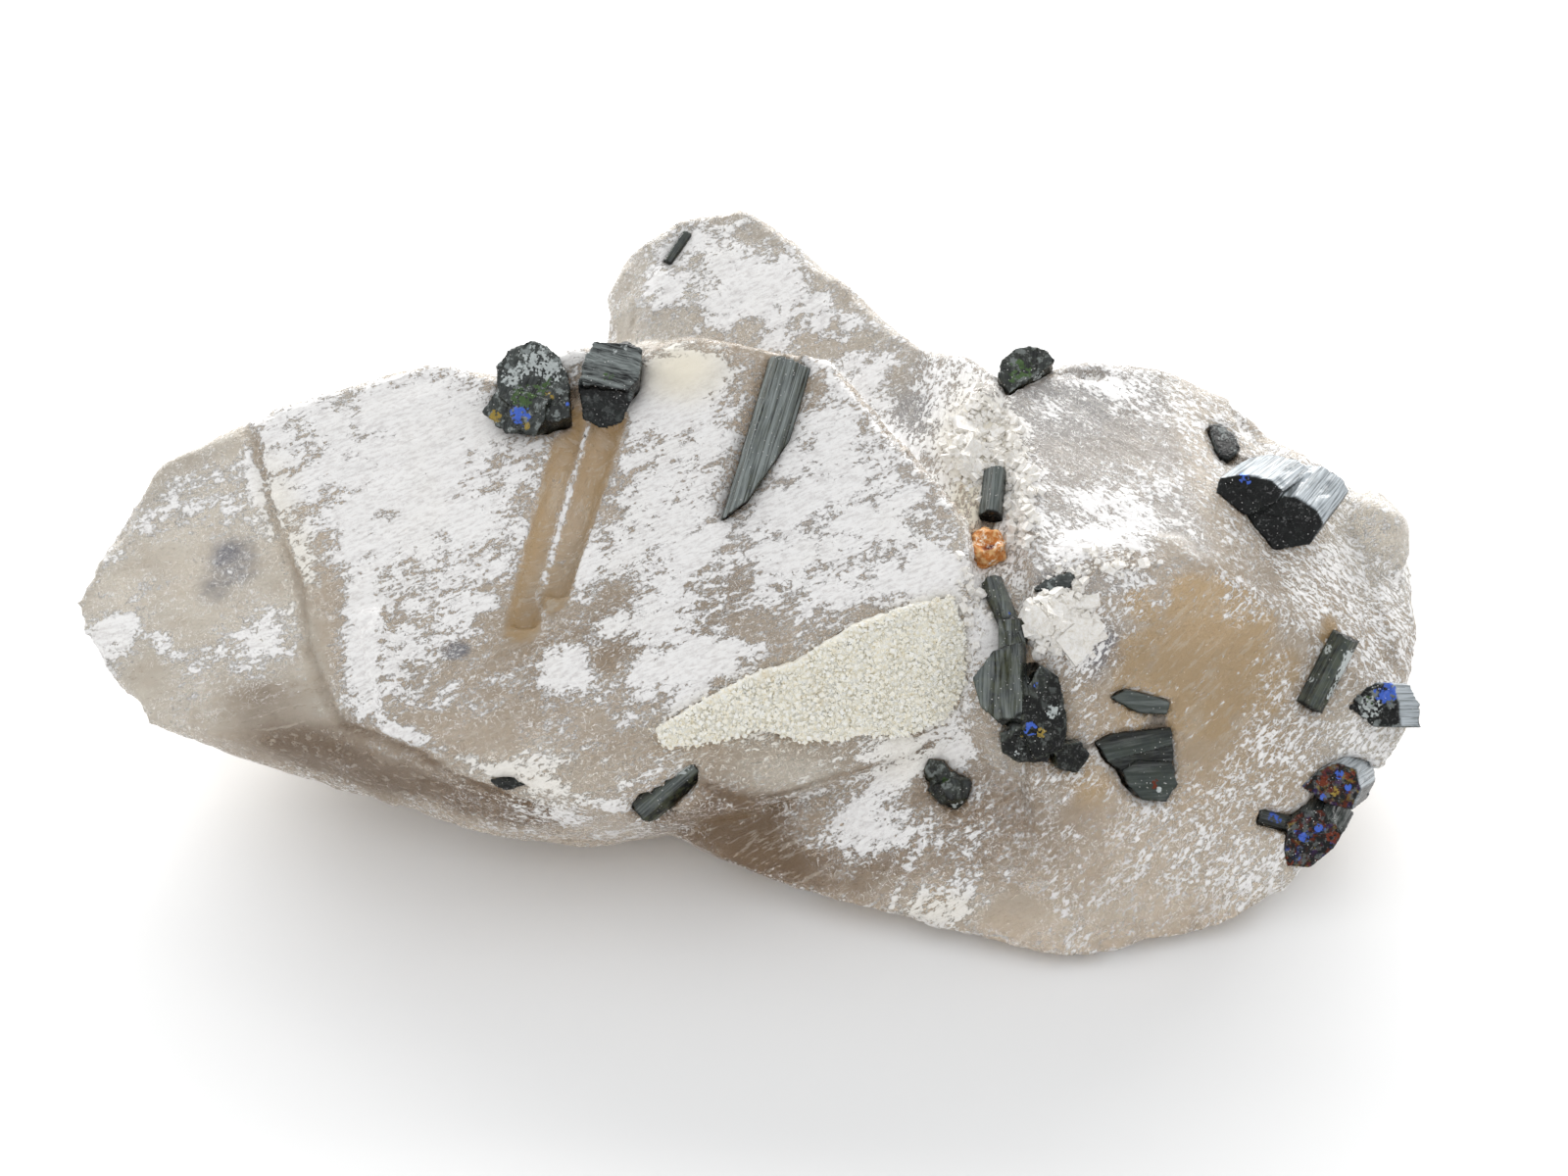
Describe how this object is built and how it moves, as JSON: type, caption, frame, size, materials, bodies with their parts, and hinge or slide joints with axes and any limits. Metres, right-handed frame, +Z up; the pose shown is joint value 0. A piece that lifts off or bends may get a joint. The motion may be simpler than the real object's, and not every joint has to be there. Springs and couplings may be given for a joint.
{
  "type": "tourmalinated quartz cluster",
  "caption": "Intergrown smoky quartz crystals with frosted faces, dark tourmaline rods set in them, a sugary albite crust and a rusty lump in the cleft.",
  "frame": {"origin": "middle of the bounding box in plan, on the surface that the cluster lies on", "axes": "+X along the cluster from its blunt left end to the crystal tip at the right, +Y from the best side to the back, +Z up"},
  "size_m": [0.1094, 0.0564, 0.0379],
  "materials": {
    "smoky_quartz": "translucent smoky grey-brown, partly frosted white",
    "tourmaline": "glossy, near black with a green cast, striated lengthwise",
    "albite": "matt, sugary, cream white",
    "iron_oxide": "matt, crumbly, rust orange"
  },
  "bodies": {
    "root": {"albite_crust": "albite", "quartz_cluster": "smoky_quartz", "rust_lump": "iron_oxide", "tourmaline_amber_flake": "tourmaline", "tourmaline_amber_stub": "tourmaline", "tourmaline_back_rod": "tourmaline", "tourmaline_back_stub": "tourmaline", "tourmaline_burred_cluster": "tourmaline", "tourmaline_edge_rod_lower": "tourmaline", "tourmaline_edge_rod_middle": "tourmaline", "tourmaline_edge_rod_upper": "tourmaline", "tourmaline_flush_wedge": "tourmaline", "tourmaline_green_rod": "tourmaline", "tourmaline_lip_flake": "tourmaline", "tourmaline_low_bud": "tourmaline", "tourmaline_notch_knob": "tourmaline", "tourmaline_pointed_rod": "tourmaline", "tourmaline_rear_needle": "tourmaline", "tourmaline_step_flake": "tourmaline", "tourmaline_stepped_rod": "tourmaline", "tourmaline_twin_rods": "tourmaline", "tourmaline_undercut_rod": "tourmaline", "tourmaline_upper_valley_rod": "tourmaline", "tourmaline_valley_cluster": "tourmaline"}
  },
  "joints": []
}
